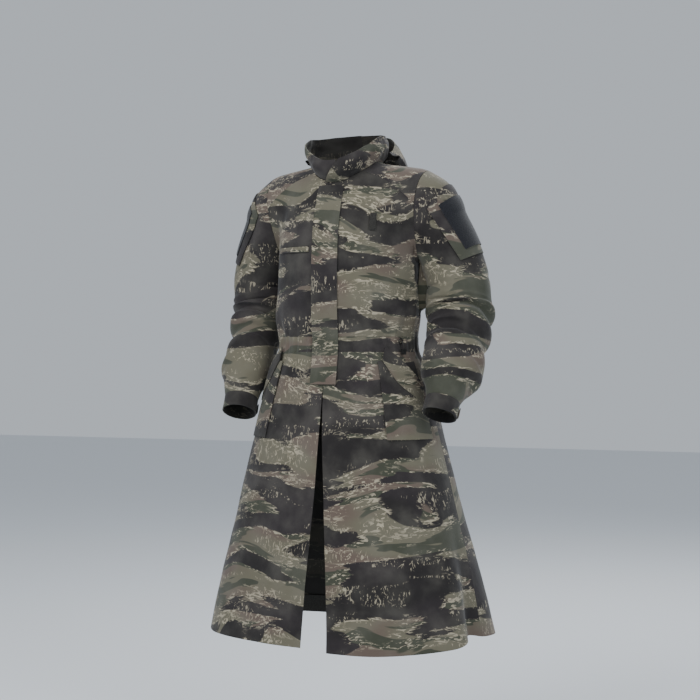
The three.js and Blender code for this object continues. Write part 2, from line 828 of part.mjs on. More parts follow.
const hipPocket = {
  bag: { front: 40, side: 78, top: -520, bottom: -722 },
  flap: {
    top: [
      { angle: 50, z: -482 },
      { angle: 66, z: -532 },
      { angle: 82, z: -586 },
    ],
    bottom: [
      { angle: 44, z: -520 },
      { angle: 55, z: -580 },
      { angle: 74, z: -628 },
    ],
  },
};
const chestWelt = { inner: 42, outer: 150, top: -219, bottom: -233 };
const flapLift = 4.2;
const chestTab = { inner: 108, outer: 123, top: -134, bottom: -178 };

function frontGrid(piece, side) {
  const grid = steps(3, piece.bottom, piece.top).map((z) =>
    steps(4, piece.inner, piece.outer).map((x) =>
      ontoField(fields.body, coatPoint(side * x, z)),
    ),
  );
  return facingOut(grid, side);
}

function makePockets(sideName, side) {
  const { bag, flap } = hipPocket;
  const bagGrid = steps(5, bag.bottom, bag.top).map((z) =>
    steps(5, bag.front, bag.side).map((angle) => bodyPoint(side * angle, z)),
  );
  addOverlay("hip_pocket_" + sideName, facingOut(bagGrid, side), shellCloth, "camouflage", 1.3);
  const edge = (points, t) => {
    const at = t * (points.length - 1);
    const i = Math.min(Math.floor(at), points.length - 2);
    return {
      angle: lerp(points[i].angle, points[i + 1].angle, at - i),
      z: lerp(points[i].z, points[i + 1].z, at - i),
    };
  };
  const flapGrid = steps(2).map((v) =>
    steps(6).map((u) => {
      const [low, high] = [edge(flap.bottom, u), edge(flap.top, u)];
      const angle = lerp(low.angle, high.angle, v);
      return bodyPoint(side * angle, lerp(low.z, high.z, v));
    }),
  );
  const flapOut = facingOut(flapGrid, side);
  addOverlay("hip_flap_" + sideName, flapOut, doubleCloth, "camouflage", flapLift);
}

makePockets("left", 1);
makePockets("right", -1);
addOverlay("chest_welt_right", frontGrid(chestWelt, -1), doubleCloth, "camouflage");
addOverlay("chest_tab_left", frontGrid(chestTab, 1), doubleCloth, "darkCloth");

// ---- Waist drawcord: eyelet, cord end and cord lock on each side ----

const drawcord = { angle: 67, z: -467, out: 10, eyelet: 6.5, wire: 1.6, radius: 1.5 };
const cordLock = { width: 11, depth: 8, height: 15, drop: 20 };

function makeDrawcord(sideName, side) {
  const angle = side * drawcord.angle;
  const foot = bodyPoint(angle, drawcord.z, 2.1);
  const out = bodyPoint(angle, drawcord.z, 3.1).sub(foot);
  const turn = new THREE.Quaternion().setFromUnitVectors(vec(0, 0, 1), out);
  const ring = new THREE.TorusGeometry(drawcord.eyelet, drawcord.wire, 6, 16);
  const eyelet = add("waist_eyelet_" + sideName, ring, "hardware");
  eyelet.position.copy(foot);
  eyelet.quaternion.copy(turn);
  const start = foot.clone().addScaledVector(out, -0.9);
  const end = foot.clone().addScaledVector(out, drawcord.out + 1);
  end.z -= cordLock.drop - 0.4;
  const middle = foot.clone().addScaledVector(out, drawcord.out);
  middle.z -= 6;
  const path = new THREE.CatmullRomCurve3([start, middle, end]);
  const round = new THREE.Shape().absarc(0, 0, drawcord.radius, 0, Math.PI * 2);
  const cord = { steps: 6, bevelEnabled: false, extrudePath: path, curveSegments: 5 };
  add("drawcord_" + sideName, new THREE.ExtrudeGeometry(round, cord), "darkCloth");
  const { width, depth, height } = cordLock;
  const lock = add("cord_lock_" + sideName, new THREE.BoxGeometry(width, depth, height), "hardware");
  lock.position.copy(end);
  lock.position.z -= height / 2 + 0.3;
  lock.rotation.z = Math.atan2(out.y, out.x) + Math.PI / 2;
}
makeDrawcord("left", 1);
makeDrawcord("right", -1);

coat.updateMatrixWorld(true);
export default coat;
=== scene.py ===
import math

import bmesh
import bpy
import numpy as np
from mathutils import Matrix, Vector, noise


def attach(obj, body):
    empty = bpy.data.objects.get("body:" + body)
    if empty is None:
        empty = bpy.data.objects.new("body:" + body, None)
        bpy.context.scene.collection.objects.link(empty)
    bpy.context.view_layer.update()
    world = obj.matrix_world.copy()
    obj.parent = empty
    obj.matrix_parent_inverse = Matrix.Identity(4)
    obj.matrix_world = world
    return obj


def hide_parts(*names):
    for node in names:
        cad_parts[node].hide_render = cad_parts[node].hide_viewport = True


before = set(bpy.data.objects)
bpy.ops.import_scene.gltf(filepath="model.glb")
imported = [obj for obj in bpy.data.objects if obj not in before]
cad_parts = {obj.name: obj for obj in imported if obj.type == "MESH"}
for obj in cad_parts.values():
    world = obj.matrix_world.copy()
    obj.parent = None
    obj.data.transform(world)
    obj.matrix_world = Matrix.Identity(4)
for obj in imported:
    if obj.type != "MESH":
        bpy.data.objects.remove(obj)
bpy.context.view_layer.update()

finer = 4  # Facets here for each one of the CAD's
shellCloth = 0.0016
doubleCloth = 0.0024
seamGap = 0.0003
restGap = 0.0011

hemZ, waistSeamZ, waistTopZ = -1.25, -0.495, -0.455
flyTopZ, flyBottomZ, flyHalfWidth = -0.058, -0.58, 0.032

# Sections of the body cloth: height, half width at the side, depth in front and behind
bodySections = np.array([
    [-1.25, 0.388, 0.27, 0.306], [-1.111, 0.359, 0.25, 0.28], [-1.003, 0.333, 0.231, 0.256],
    [-0.841, 0.293, 0.204, 0.224], [-0.7, 0.257, 0.186, 0.205], [-0.6, 0.229, 0.168, 0.183],
    [-0.53, 0.208, 0.156, 0.163], [-0.495, 0.192, 0.15, 0.15], [-0.455, 0.19, 0.149, 0.146],
    [-0.4, 0.198, 0.155, 0.15], [-0.33, 0.196, 0.157, 0.15], [-0.25, 0.192, 0.155, 0.15],
    [-0.18, 0.189, 0.148, 0.149], [-0.12, 0.183, 0.134, 0.143], [-0.07, 0.166, 0.114, 0.129],
    [-0.03, 0.136, 0.09, 0.11], [0.0, 0.1, 0.066, 0.09], [0.04, 0.07, 0.048, 0.074],
])
squareness = 2.15

# Flutes of the skirt: angle, width, depth at the hem, and the height where each begins
skirtFlutes = [
    [25, 12, 0.009, -0.76], [66, 10, 0.014, -0.8], [82, 7, -0.026, -0.9], [103, 11, 0.012, -0.85],
    [138, 12, -0.016, -0.7], [160, 13, 0.012, -0.7], [-22, 11, -0.007, -0.8],
    [-52, 13, 0.009, -0.75], [-96, 10, -0.014, -0.8], [-128, 13, 0.013, -0.7],
    [-158, 11, -0.015, -0.72],
]
hemLine = np.array([
    [-180, 0], [-90, 0.012], [-60, 0.01], [-20, 0.002], [0, 0], [8, -0.008], [35, -0.009],
    [62, 0.002], [82, 0.022], [92, 0.014], [180, 0],
])
openingTurn = {1: 7.3, -1: 1.8}

# The arm's centre line: place along it, x, y, z, radius
armSections = np.array([
    [0, 0.12, 0.01, -0.085, 0.088], [0.12, 0.2, 0.03, -0.106, 0.092],
    [0.24, 0.234, 0.04, -0.165, 0.083], [0.36, 0.265, 0.05, -0.228, 0.082],
    [0.5, 0.291, 0.062, -0.3, 0.082], [0.63, 0.294, 0.068, -0.375, 0.086],
    [0.73, 0.303, 0.052, -0.43, 0.081], [0.84, 0.306, 0.015, -0.498, 0.076],
    [0.93, 0.304, -0.025, -0.56, 0.072], [0.97, 0.303, -0.044, -0.594, 0.054],
    [1, 0.301, -0.058, -0.62, 0.045],
])
armReach = {1: (0.002, -0.026, 0.003), -1: (-0.022, -0.03, -0.013)}
elbow = (0.4, 0.9)

# Folds of the sleeve: place along it, angle round it, spread, width and height
sleeveFolds = [
    [0.66, -20, 95, 0.03, 0.008], [0.705, 10, 110, 0.018, -0.011], [0.76, 30, 100, 0.03, 0.008],
    [0.81, 20, 90, 0.018, -0.009], [0.87, 0, 100, 0.03, 0.007], [0.925, -10, 80, 0.03, 0.012],
]
# Finer creases that only the visible cloth has
sleeveCreases = [
    [0.6, 60, 40, 0.012, 0.005], [0.635, 100, 45, 0.008, -0.006], [0.67, 120, 40, 0.012, 0.006],
    [0.69, -60, 50, 0.01, -0.006], [0.73, 130, 50, 0.009, -0.007], [0.745, 80, 50, 0.01, 0.006],
    [0.785, -40, 50, 0.01, -0.006], [0.79, 100, 45, 0.009, 0.006], [0.835, 60, 50, 0.01, -0.006],
    [0.85, 120, 40, 0.01, 0.005], [0.9, 40, 45, 0.01, -0.006], [0.895, -80, 50, 0.01, 0.005],
    [0.95, 30, 60, 0.008, -0.005], [0.55, 140, 40, 0.012, -0.004], [0.5, -40, 50, 0.012, -0.003],
]
foldSlant = 0.035
armhole = {"x": 0.21, "y": 0.024, "z": -0.135, "lean": 0.1, "front": 72, "back": -72}
cuffLength, cuffSeam, cuffEdge = 0.042, 0.045, 0.046
neckline = {"side": 0.084, "front": 0.092, "back": 0.08, "frontZ": -0.05, "sideZ": -0.002,
            "backZ": 0.014, "dip": 1.5}
yokeFront, yokeBack = 52, 128
blendWide, blendNarrow, blendTop, blendBottom = 0.026, 0.003, -0.15, -0.245
armFading, bodyFading = 1.2, 4
shoulderSpans, shoulderStep = 12, 0.045
probe, settlingSteps = 0.0005, 8
halvings, farthest = 26, 0.26
driftPower = 12


def smoothStep(low, high, x):
    t = np.clip((x - low) / (high - low), 0, 1)
    return t * t * (3 - 2 * t)


def bell(x):
    return np.exp(-x * x)


# The table's columns at x, on a smooth curve through its rows
def tableAt(table, x):
    keys = table[:, 0]
    x = np.clip(np.asarray(x, float), keys[0], keys[-1])
    i = np.clip(np.searchsorted(keys, x) - 1, 0, len(keys) - 2)
    before, after = np.maximum(i - 1, 0), np.minimum(i + 2, len(keys) - 1)
    step = (keys[i + 1] - keys[i])[..., None]
    t = (x - keys[i])[..., None] / step
    p, q = table[i, 1:], table[i + 1, 1:]
    slopeP = (q - table[before, 1:]) / (keys[i + 1] - keys[before])[..., None] * step
    slopeQ = (table[after, 1:] - p) / (keys[after] - keys[i])[..., None] * step
    bend = t * (t - 1)
    return p + (q - p) * t * t * (3 - 2 * t) + bend * ((t - 1) * slopeP + t * slopeQ)


def unit(v):
    return v / np.maximum(np.linalg.norm(v, axis=-1, keepdims=True), 1e-12)


def fluteAt(angle, z):
    depth = np.zeros(np.broadcast(angle, z).shape)
    for centre, width, height, top in skirtFlutes:
        away = (angle - centre + 540) % 360 - 180
        depth += height * bell(away / width) * smoothStep(top, hemZ, z)
    return depth


def bodyPoint(angle, z, lift=0.0):
    angle, z = np.broadcast_arrays(np.asarray(angle, float), np.asarray(z, float))
    side, front, back = np.moveaxis(tableAt(bodySections, z), -1, 0)
    a = np.radians(angle)
    power = 2 / squareness
    depth = np.where(np.cos(a) > 0, front, back)
    x = side * np.sign(np.sin(a)) * np.abs(np.sin(a)) ** power
    y = -depth * np.sign(np.cos(a)) * np.abs(np.cos(a)) ** power
    out = unit(np.stack([x / side, y / depth, np.zeros_like(x)], -1))
    return np.stack([x, y, z], -1) + out * (fluteAt(angle, z) + lift)[..., None]


def bodyField(p):
    side, front, back = np.moveaxis(tableAt(bodySections, p[..., 2]), -1, 0)
    depth = np.where(p[..., 1] < 0, front, back)
    total = (np.abs(p[..., 0]) / side) ** squareness + (np.abs(p[..., 1]) / depth) ** squareness
    return (total ** (1 / squareness) - 1) * np.minimum(side, depth)


def armAt(side, at):
    row = tableAt(armSections, at)
    reach = smoothStep(elbow[0], elbow[1], np.asarray(at, float))
    dx, dy, dr = armReach[side]
    slim = dr * smoothStep(1, elbow[1], np.asarray(at, float))
    x, y = (row[..., 0] + dx * reach) * side, row[..., 1] + dy * reach
    return np.stack([x, y, row[..., 2]], -1), row[..., 3] + slim * reach


def armFrame(side, at):
    at = np.asarray(at, float)
    step = 0.01
    after, before = np.minimum(at + step, 1), np.maximum(at - step, 0)
    down = unit(armAt(side, after)[0] - armAt(side, before)[0])
    outer = np.broadcast_to(np.array([side, 0.0, 0.0]), down.shape)
    outer = unit(outer - down * np.sum(outer * down, -1, keepdims=True))
    return down, outer, np.cross(down, outer) * side


def foldAt(angle, at, folds):
    height = np.zeros(np.broadcast(angle, at).shape)
    for place, around, spread, width, depth in folds:
        away = (angle - around + 540) % 360 - 180
        centre = place - foldSlant * np.sin(np.radians(angle))
        height += depth * bell((at - centre) / width) * bell(away / spread)
    return height


def ringPoint(side, at, angle, lift=0.0):
    at, angle = np.broadcast_arrays(np.asarray(at, float), np.asarray(angle, float))
    centre, radius = armAt(side, at)
    _, outer, front = armFrame(side, at)
    r = (radius + lift + foldAt(angle, at, sleeveFolds))[..., None]
    a = np.radians(angle)[..., None]
    return centre + outer * r * np.cos(a) + front * r * np.sin(a)


shoulderCentres, shoulderRadii = armAt(1, np.arange(shoulderSpans + 1) * shoulderStep)


def armField(p):
    q = np.stack([np.abs(p[..., 0]), p[..., 1], p[..., 2]], -1)
    nearest = np.full(q.shape[:-1], np.inf)
    for i in range(shoulderSpans):
        span = shoulderCentres[i + 1] - shoulderCentres[i]
        away = q - shoulderCentres[i]
        t = np.clip(away @ span / (span @ span), 0, 1)
        far = np.linalg.norm(away - t[..., None] * span, axis=-1)
        radius = shoulderRadii[i] + (shoulderRadii[i + 1] - shoulderRadii[i]) * t
        nearest = np.minimum(nearest, far - radius)
    return nearest


def coatField(p, armFade=0, bodyFade=0):
    below = np.maximum(0, blendBottom - p[..., 2])
    width = blendWide + (blendNarrow - blendWide) * smoothStep(blendTop, blendBottom, p[..., 2])
    a, b = bodyField(p) + below * bodyFade, armField(p) + below * armFade
    h = np.clip(0.5 + 0.5 * (b - a) / width, 0, 1)
    return b + (a - b) * h - width * h * (1 - h)


def bodyCloth(p):
    return coatField(p, armFade=armFading)


def sleeveCloth(p):
    return coatField(p, bodyFade=bodyFading)


def slopeOf(field, p):
    axes = np.eye(3) * probe
    return np.stack([(field(p + axis) - field(p - axis)) / (2 * probe) for axis in axes], -1)


def onto(field, p):
    p = np.array(p, float)
    for _ in range(settlingSteps):
        slope = slopeOf(field, p)
        p = p - slope * (field(p) / np.sum(slope * slope, -1))[..., None]
    return p


def neckPoint(angle):
    a = np.radians(np.asarray(angle, float))
    cos = np.cos(a)
    depth = np.where(cos > 0, neckline["front"], neckline["back"])
    sideZ = neckline["sideZ"]
    rise = np.where(cos > 0, (neckline["frontZ"] - sideZ) * np.abs(cos) ** neckline["dip"],
                    (neckline["backZ"] - sideZ) * np.abs(cos))
    return onto(coatField, np.stack([neckline["side"] * np.sin(a), -depth * cos, sideZ + rise], -1))


def armholePoint(side, angle):
    a = np.radians(np.asarray(angle, float))[..., None]
    upward = unit(np.array([side * armhole["lean"], 0, 1.0]))
    way = upward * np.cos(a) + np.array([0, -1.0, 0]) * np.sin(a)
    centre = np.array([side * armhole["x"], armhole["y"], armhole["z"]])
    near, far = np.zeros(a.shape), np.full(a.shape, farthest)
    for _ in range(halvings):
        middle = (near + far) / 2
        inside = coatField(centre + way * middle)[..., None] < 0
        near, far = np.where(inside, middle, near), np.where(inside, far, middle)
    return centre + way * near


def along(count, low=0.0, high=1.0):
    return np.linspace(low, high, count + 1)


def seamLine(a, b, count, bow):
    t = along(count)[:, None]
    line = onto(coatField, a * (1 - t) + b * t + np.array(bow) * 4 * t * (1 - t))
    line[0], line[-1] = a, b
    return line


def sideSeam(side, count):
    pit = armholePoint(side, 180)
    back = tableAt(bodySections, pit[2])[2]
    turn = math.degrees(math.asin(np.clip(pit[1] / back, -1, 1)))
    drift = pit - bodyPoint(side * (90 + turn), pit[2])
    t = along(count)
    p = bodyPoint(side * (90 + turn * t), waistTopZ + (pit[2] - waistTopZ) * t)
    return p + drift * (t ** driftPower)[:, None]


# The four edges filled in, and every point then moved to the field's surface
def coonsGrid(bottom, top, left, right, field):
    u = along(len(bottom) - 1)[None, :, None]
    v = along(len(left) - 1)[:, None, None]
    grid = (left[:, None] * (1 - u) + right[:, None] * u + bottom[None] * (1 - v) + top[None] * v
            - bottom[0] * (1 - u) * (1 - v) - bottom[-1] * u * (1 - v)
            - top[0] * (1 - u) * v - top[-1] * u * v)
    grid = onto(field, grid)
    grid[0], grid[-1], grid[:, 0], grid[:, -1] = bottom, top, left, right
    return grid


def gridNormals(grid, closed=False):
    wide = np.roll(grid, -1, 1) - np.roll(grid, 1, 1)
    if not closed:
        wide[:, 0], wide[:, -1] = grid[:, 1] - grid[:, 0], grid[:, -1] - grid[:, -2]
    tall = np.gradient(grid, axis=0)
    return unit(np.cross(wide, tall))


# Soft pulls on the body: angle round it, height, width, length, depth and slant
bodyPulls = [
    [58, -0.43, 5, 0.05, -0.004, 0.5], [66, -0.42, 4, 0.055, 0.005, 0.35],
    [75, -0.41, 4, 0.06, -0.005, 0.3], [50, -0.44, 4, 0.035, 0.004, 0.3],
    [84, -0.4, 4, 0.06, 0.004, 0.2], [-58, -0.43, 5, 0.05, -0.004, -0.4],
    [-68, -0.42, 4, 0.05, 0.005, -0.3], [-78, -0.41, 4, 0.06, -0.005, -0.2],
    [38, -0.3, 7, 0.09, -0.003, 1.1], [30, -0.36, 6, 0.06, 0.003, 1.3],
    [-35, -0.33, 7, 0.08, -0.003, -1.2], [52, -0.2, 6, 0.07, 0.003, 1.2],
    [-50, -0.2, 6, 0.07, 0.003, -1.2], [60, -0.14, 5, 0.05, -0.004, 1.0],
    [-60, -0.14, 5, 0.05, -0.004, -1.0], [120, -0.4, 6, 0.07, -0.005, -0.4],
    [150, -0.41, 6, 0.06, 0.005, -0.2], [180, -0.4, 7, 0.08, -0.005, 0.2],
    [-150, -0.41, 6, 0.06, 0.005, 0.2], [-120, -0.4, 6, 0.07, -0.005, 0.4],
    [165, -0.25, 9, 0.1, -0.004, 0.8], [-160, -0.22, 9, 0.1, 0.004, -0.8],
    [58, -0.56, 5, 0.06, -0.004, -0.3], [44, -0.55, 5, 0.07, 0.004, -0.2],
    [30, -0.56, 5, 0.05, -0.003, 0.1], [-40, -0.56, 5, 0.07, 0.004, 0.2],
    [-55, -0.55, 5, 0.06, -0.004, 0.2], [100, -0.57, 6, 0.08, 0.005, 0.1],
    [125, -0.57, 6, 0.08, -0.005, 0.1], [150, -0.57, 6, 0.09, 0.005, 0],
    [175, -0.57, 6, 0.09, -0.005, 0], [-150, -0.57, 6, 0.09, 0.005, 0],
    [-120, -0.57, 6, 0.08, -0.005, 0], [45, -0.85, 9, 0.2, -0.004, 0.2],
    [14, -0.9, 8, 0.25, 0.004, 0], [-36, -0.9, 10, 0.25, -0.004, 0],
]


gathers = {"z": 0.5 * (waistSeamZ + waistTopZ), "reach": 0.05, "height": 0.0016,
           "waves": 34, "finerWaves": 57}


# The body cloth moved along its normals by the pulls, the waist's gathers and fine rumples
def creased(grid, amount=1.0):
    angle = np.degrees(np.arctan2(grid[..., 0], -grid[..., 1]))
    z = grid[..., 2]
    height = np.zeros(z.shape)
    for centre, level, width, length, depth, slant in bodyPulls:
        turned = (angle - centre - slant * (z - level) * 100 + 540) % 360 - 180
        height += depth * bell(turned / width) * bell((z - level) / length)
    a = np.radians(angle)
    waves = np.sin(a * gathers["waves"]) + 0.6 * np.sin(a * gathers["finerWaves"] + 1)
    height += gathers["height"] * bell((z - gathers["z"]) / gathers["reach"]) * waves
    height += rumple(grid, 9, 0.0022) + rumple(grid + 3, 26, 0.0008)
    neck = smoothStep(0.0, -0.09, z)
    return grid + gridNormals(grid) * (height * amount * neck)[..., None]


def rumple(grid, scale, depth):
    flat = grid.reshape(-1, 3) * np.array([scale, scale, scale * 0.8])
    values = [noise.noise(Vector(p)) for p in flat]
    return np.array(values).reshape(grid.shape[:-1]) * depth


colours = {
    "field": (0.118, 0.108, 0.075, 1),
    "mauve": (0.105, 0.078, 0.062, 1),
    "moss": (0.042, 0.045, 0.031, 1),
    "stripe": (0.0125, 0.0105, 0.0105, 1),
    "stroke": (0.42, 0.37, 0.27, 1),
    # inside: near-black painted shade for the coat's inner faces, which lie in shadow; only a faint
    # print of the cloth's reverse is the cloth's own
    "inside": (0.012, 0.011, 0.0095, 1),
    "tape": (0.016, 0.015, 0.013, 1),
    "pile": (0.0045, 0.005, 0.0075, 1),
    "plastic": (0.01, 0.01, 0.01, 1),
    "stripeWarm": (0.02, 0.016, 0.0175, 1),
    "worn": (0.2, 0.19, 0.16, 1),
    "floor": (0.72, 0.75, 0.78, 1),
    "world": (0.66, 0.71, 0.77, 1),
}
# How far a piece's own cut moves the print along X, Y and Z
cutShift = (1.7, -2.3, 0.9)

# Noise of the print: scale along X, Y and Z, and its settings
printNoise = {
    "bend": ((3.2, 3.2, 4.5), {"Detail": 1.0}),
    "bands": ((3.6, 3.6, 17.0), {"Detail": 2.0, "Roughness": 0.42, "Distortion": 0.35}),
    "second": ((5.0, 5.0, 24.0), {"Detail": 2.0, "Roughness": 0.5, "Distortion": 0.5}),
    "streaks": ((42.0, 42.0, 150.0), {"Detail": 3.0, "Roughness": 0.6, "Distortion": 1.2}),
    "hatch": ((120.0, 120.0, 45.0), {"Detail": 2.0, "Roughness": 0.6, "Distortion": 1.5}),
    "tone": ((5.0, 5.0, 10.0), {"Detail": 1.0}),
    "wear": ((14.0, 14.0, 14.0), {"Detail": 4.0}),
    "weave": ((900.0, 900.0, 900.0), {"Detail": 1.0}),
    "crinkle": ((55.0, 55.0, 70.0), {"Detail": 3.0}),
}
bendHeight, strokeShare, hatchShare, wearShare, weaveShare = 0.16, 0.75, 0.8, 0.22, 0.25


class Nodes:
    def __init__(self, name):
        self.material = bpy.data.materials.new(name)
        self.material.use_nodes = True
        self.tree = self.material.node_tree
        self.shader = self.tree.nodes["Principled BSDF"]

    def add(self, kind, inputs=None, **settings):
        node = self.tree.nodes.new(kind)
        for key, value in settings.items():
            setattr(node, key, value)
        for key, value in (inputs or {}).items():
            if hasattr(value, "is_output"):
                self.tree.links.new(value, node.inputs[key])
            else:
                node.inputs[key].default_value = value
        return node

    def mix(self, factor, a, b):
        node = self.add("ShaderNodeMix", {"Factor": factor}, data_type="RGBA")
        for socket, value in ((node.inputs[6], a), (node.inputs[7], b)):
            if hasattr(value, "is_output"):
                self.tree.links.new(value, socket)
            else:
                socket.default_value = value
        return node.outputs[2]

    def maths(self, operation, a, b=0.0):
        return self.add("ShaderNodeMath", {0: a, 1: b}, operation=operation).outputs[0]

    def between(self, value, low, high):
        inputs = {"Value": value, "From Min": low, "From Max": high}
        node = self.add("ShaderNodeMapRange", inputs, interpolation_type="SMOOTHSTEP")
        return node.outputs["Result"]

    def noiseAt(self, place, scale, **inputs):
        mapped = self.add("ShaderNodeMapping", {"Vector": place, "Scale": scale}).outputs[0]
        values = {"Vector": mapped, "Scale": 1.0, "Detail": 2.0, **inputs}
        return self.add("ShaderNodeTexNoise", values).outputs["Fac"]

    def plus(self, a, b):
        return self.add("ShaderNodeVectorMath", {0: a, 1: b}, operation="ADD").outputs[0]

    # Object coordinates, moved by each piece's own cut so that stripes break at seams
    def place(self):
        coordinates = self.add("ShaderNodeTexCoord").outputs["Object"]
        cut = self.add("ShaderNodeAttribute", attribute_name="cut").outputs["Fac"]
        moves = {axis: self.maths("MULTIPLY", cut, by) for axis, by in zip("XYZ", cutShift)}
        shift = self.add("ShaderNodeCombineXYZ", moves).outputs[0]
        return self.plus(coordinates, shift)

    def finish(self, colour, roughness, height, strength, distance=0.001, sheen=0.0):
        shader = self.shader
        self.tree.links.new(colour, shader.inputs["Base Color"])
        shader.inputs["Roughness"].default_value = roughness
        shader.inputs["Sheen Weight"].default_value = sheen
        shader.inputs["Specular IOR Level"].default_value = 0.25
        inputs = {"Height": height, "Strength": strength, "Distance": distance}
        bump = self.add("ShaderNodeBump", inputs)
        self.tree.links.new(bump.outputs[0], shader.inputs["Normal"])
        return self.material


def camouflageMaterial(name, dim=1.0):
    n = Nodes(name)
    place = n.place()

    def printed(kind, at):
        scale, settings = printNoise[kind]
        return n.noiseAt(at, scale, **settings)

    bend = n.maths("MULTIPLY", printed("bend", place), bendHeight)
    wavy = n.plus(place, n.add("ShaderNodeCombineXYZ", {"Z": bend}).outputs[0])
    bands, second = printed("bands", wavy), printed("second", wavy)
    streaks, hatch = printed("streaks", wavy), printed("hatch", wavy)
    tone = printed("tone", place)
    ground = n.mix(n.between(tone, 0.44, 0.6), colours["field"], colours["mauve"])
    ground = n.mix(n.between(second, 0.535, 0.555), ground, colours["moss"])
    nearEdge = n.maths("MULTIPLY", n.between(bands, 0.40, 0.475), n.between(bands, 0.53, 0.50))
    stroke = n.maths("MULTIPLY", nearEdge, n.between(streaks, 0.55, 0.58))
    openField = n.maths("MULTIPLY", n.between(second, 0.44, 0.40), n.between(hatch, 0.58, 0.61))
    stroke = n.maths("MAXIMUM", stroke, n.maths("MULTIPLY", openField, hatchShare))
    dark = n.mix(n.between(tone, 0.4, 0.65), colours["stripe"], colours["stripeWarm"])
    colour = n.mix(n.between(bands, 0.496, 0.506), ground, dark)
    colour = n.mix(n.maths("MULTIPLY", stroke, strokeShare), colour, colours["stroke"])
    worn = n.maths("MULTIPLY", n.between(printed("wear", place), 0.35, 0.8), wearShare)
    colour = n.mix(worn, colour, colours["worn"])
    # Below 1, dim mixes the print towards the near-black inside colour: painted shade on the inner
    # faces, leaving a faint print of the cloth's reverse
    if dim < 1:
        colour = n.mix(1 - dim, colour, colours["inside"])
    weave = n.maths("MULTIPLY", printed("weave", place), weaveShare)
    height = n.maths("ADD", weave, printed("crinkle", place))
    return n.finish(colour, 0.82, height, 0.5, 0.0016, sheen=0.12)


def plainMaterial(name, colour, roughness, scale, strength, sheen=0.0):
    n = Nodes(name)
    place = n.place()
    grain = n.noiseAt(place, (scale, scale, scale), Detail=2.0)
    faded = tuple(min(1, c * 1.9 + 0.004) for c in colour[:3]) + (1,)
    tinted = n.mix(n.between(grain, 0.3, 0.75), colour, faded)
    return n.finish(tinted, roughness, grain, strength, sheen=sheen)


materials = {
    "camouflage": camouflageMaterial("camouflage"),
    # The inner faces' material: the print kept at a sixth over near-black, painted shade for the
    # shadowed inside of the coat
    "inside": camouflageMaterial("camouflage_inside_painted_shade", dim=0.16),
    "dark_cloth": plainMaterial("dark_cloth", colours["tape"], 0.85, 500, 0.3, 0.1),
    "loop_pile": plainMaterial("loop_pile", colours["pile"], 0.95, 420, 0.8, 0.25),
    "hardware": plainMaterial("hardware", colours["plastic"], 0.42, 300, 0.1),
}
print("materials", len(materials))


cutOf = {}
cutStep, sharpFold = 0.37, math.radians(38)


def makeMesh(name, points, faces, faceMaterials, slots):
    mesh = bpy.data.meshes.new(name)
    mesh.from_pydata([tuple(p) for p in points], [], faces)
    for slot in slots:
        mesh.materials.append(materials[slot])
    mesh.polygons.foreach_set("material_index", faceMaterials)
    mesh.polygons.foreach_set("use_smooth", [True] * len(faces))
    cut = mesh.attributes.new("cut", "FLOAT", "POINT")
    cutOf[name] = cutStep * (len(cutOf) + 1)
    cut.data.foreach_set("value", [cutOf[name]] * len(points))
    bm = bmesh.new()
    bm.from_mesh(mesh)
    for edge in bm.edges:
        edge.smooth = len(edge.link_faces) == 2 and edge.calc_face_angle(0) < sharpFold
    bm.to_mesh(mesh)
    bm.free()
    mesh.update()
    piece = bpy.data.objects.new(name, mesh)
    bpy.context.scene.collection.objects.link(piece)
    return piece


# A wall between two grids, closed along its edges; the first slot is its outer face's
def wallPiece(name, outer, inner, slots, closed=False):
    rows, columns = outer.shape[:2]
    points = np.concatenate([outer.reshape(-1, 3), inner.reshape(-1, 3)])

    def at(layer, j, i):
        return (layer * rows + j) * columns + i % columns

    faces, kinds = [], []
    wide = columns if closed else columns - 1
    for j in range(rows - 1):
        for i in range(wide):
            faces.append((at(0, j, i), at(0, j, i + 1), at(0, j + 1, i + 1), at(0, j + 1, i)))
            faces.append((at(1, j, i), at(1, j + 1, i), at(1, j + 1, i + 1), at(1, j, i + 1)))
            kinds += [0, 1]
    last = rows - 1
    for i in range(wide):
        faces.append((at(0, 0, i), at(1, 0, i), at(1, 0, i + 1), at(0, 0, i + 1)))
        faces.append((at(0, last, i), at(0, last, i + 1), at(1, last, i + 1), at(1, last, i)))
        kinds += [0, 0]
    if not closed:
        end = columns - 1
        for j in range(rows - 1):
            faces.append((at(0, j, 0), at(0, j + 1, 0), at(1, j + 1, 0), at(1, j, 0)))
            faces.append((at(0, j, end), at(1, j, end), at(1, j + 1, end), at(0, j + 1, end)))
            kinds += [0, 0]
    return makeMesh(name, points, faces, kinds, slots)


# The longest row, the longest column and the area of a grid
def gridSize(grid, closed=False):
    wide = np.linalg.norm(np.diff(grid, axis=1), axis=-1).sum(1)
    tall = np.linalg.norm(np.diff(grid, axis=0), axis=-1).sum(0)
    a, b = grid[:-1, 1:] - grid[:-1, :-1], grid[1:, :-1] - grid[:-1, :-1]
    area = np.linalg.norm(np.cross(a, b), axis=-1).sum()
    if closed:
        gap = np.linalg.norm(grid[:, 0] - grid[:, -1], axis=-1)
        wide = wide + gap
        area += (gap[:-1] * np.linalg.norm(np.diff(grid[:, 0], axis=0), axis=-1)).sum()
    return float(wide.max()), float(tall.max()), float(area)


# Sheet sizes are rounded up to a tenth of a millimetre
tenths, leastShare = 1e4, 0.32


def declare(piece, node, grid, closed=False):
    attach(piece, "root")
    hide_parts(node)
    width, length, area = gridSize(grid, closed)
    width, length = (math.ceil(size * tenths) / tenths for size in (width, length))
    box = width * length
    area = float(np.clip(area, leastShare * box, box))


# A panel whose outer face is the grid
def sewn(name, grid, thickness, slot="camouflage", closed=False):
    inner = grid - gridNormals(grid, closed) * thickness
    # The inner faces of camouflage panels take the inside material, whose darkness is painted shade
    slots = ["camouflage", "inside"] if slot == "camouflage" else [slot, slot]
    piece = wallPiece(name + "_cloth", grid, inner, slots, closed)
    declare(piece, name, grid, closed)


puffHeight = 0.0012


